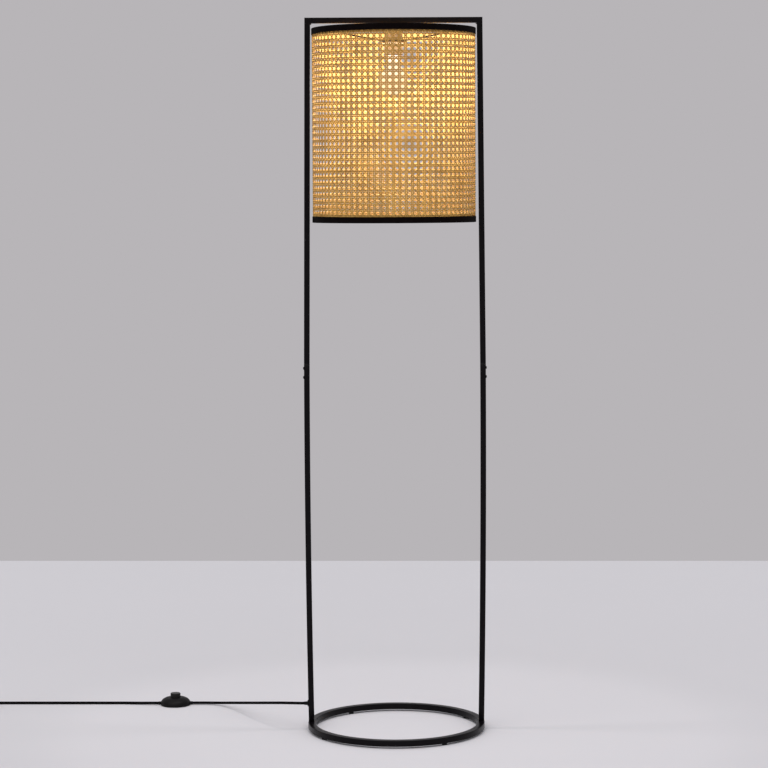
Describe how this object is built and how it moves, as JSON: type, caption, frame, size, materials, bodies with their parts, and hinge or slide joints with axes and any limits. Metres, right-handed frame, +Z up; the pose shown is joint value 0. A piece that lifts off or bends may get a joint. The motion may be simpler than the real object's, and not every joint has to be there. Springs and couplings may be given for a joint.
{
  "type": "rattan floor lamp",
  "caption": "Slim black square-tube portal on a ring foot that carries a woven cane drum shade under its top bar, with a corded foot switch.",
  "frame": {"origin": "on the floor, at the centre of the ring foot", "axes": "+Z up along the lamp, the two posts stand at -X and +X, the front of the picture faces -Y, the cord leaves towards -X"},
  "size_m": [1.2653, 0.481, 1.5335],
  "materials": {
    "black_paint": "satin black powder coat",
    "bare_steel": "zinc plated",
    "rubber": "matt moulded",
    "cane": "natural peeled cane",
    "black_tape": "woven edge tape",
    "black_plastic": "fine matt moulded",
    "ivory_plastic": "fine matt moulded",
    "switch_button": "fine matt moulded",
    "cord_sheath": "smooth satin sheath",
    "white_ceramic": "glazed ceramic",
    "brass": "plain",
    "opal_glass": "opal, lit"
  },
  "bodies": {
    "lamp": {"top_bar": "black_paint", "upper_post_left": "black_paint", "upper_post_right": "black_paint", "spigot_left": "bare_steel", "spigot_right": "bare_steel", "lower_post_left": "black_paint", "lower_post_right": "black_paint", "joint_screw_left_top": "black_paint", "joint_screw_left_bottom": "black_paint", "joint_screw_right_top": "black_paint", "joint_screw_right_bottom": "black_paint", "base_ring": "black_paint", "foot_pad_1": "rubber", "foot_pad_2": "rubber", "foot_pad_3": "rubber", "foot_pad_4": "rubber", "shade_wall": "cane", "top_trim": "black_tape", "bottom_trim": "black_tape", "top_wire_ring": "black_paint", "bottom_wire_ring": "black_paint", "spider_spoke_1": "black_paint", "spider_spoke_2": "black_paint", "spider_spoke_3": "black_paint", "spider_hub": "black_paint", "shade_nut": "ivory_plastic", "hanger_tube": "bare_steel", "lampholder_cap": "ivory_plastic", "lampholder_body": "ivory_plastic", "lampholder_insert": "white_ceramic", "screw_shell": "brass", "centre_contact": "brass", "bulb_glass": "opal_glass", "bulb_screw_cap": "bare_steel", "bulb_contact": "bare_steel", "bulb_stem": "opal_glass", "bulb_filament": "brass", "cord_gland": "rubber", "inner_lead": "cord_sheath", "switch_cover": "black_plastic", "switch_base": "black_plastic", "switch_pad": "rubber", "switch_spring": "bare_steel", "switch_mechanism": "white_ceramic", "switch_terminal_out": "brass", "switch_screw_out": "bare_steel", "switch_relief_out": "rubber", "switch_terminal_in": "brass", "switch_screw_in": "bare_steel", "switch_relief_in": "rubber", "cord_to_switch": "cord_sheath", "cord_to_coil": "cord_sheath", "cord_coil": "cord_sheath", "cord_tie": "black_plastic", "plug_relief": "black_plastic", "plug_body": "black_plastic", "plug_pin_front": "brass", "plug_pin_back": "brass"},
    "button": {"switch_button": "switch_button"}
  },
  "joints": [
    {"name": "button_press", "type": "slide", "parent": "lamp", "child": "button", "axis": [0, 0, -1], "range_m": [0, 0.003], "stiffness_N_per_m": 300, "springref_m": -0.002, "deforming": ["switch_spring"]}
  ]
}
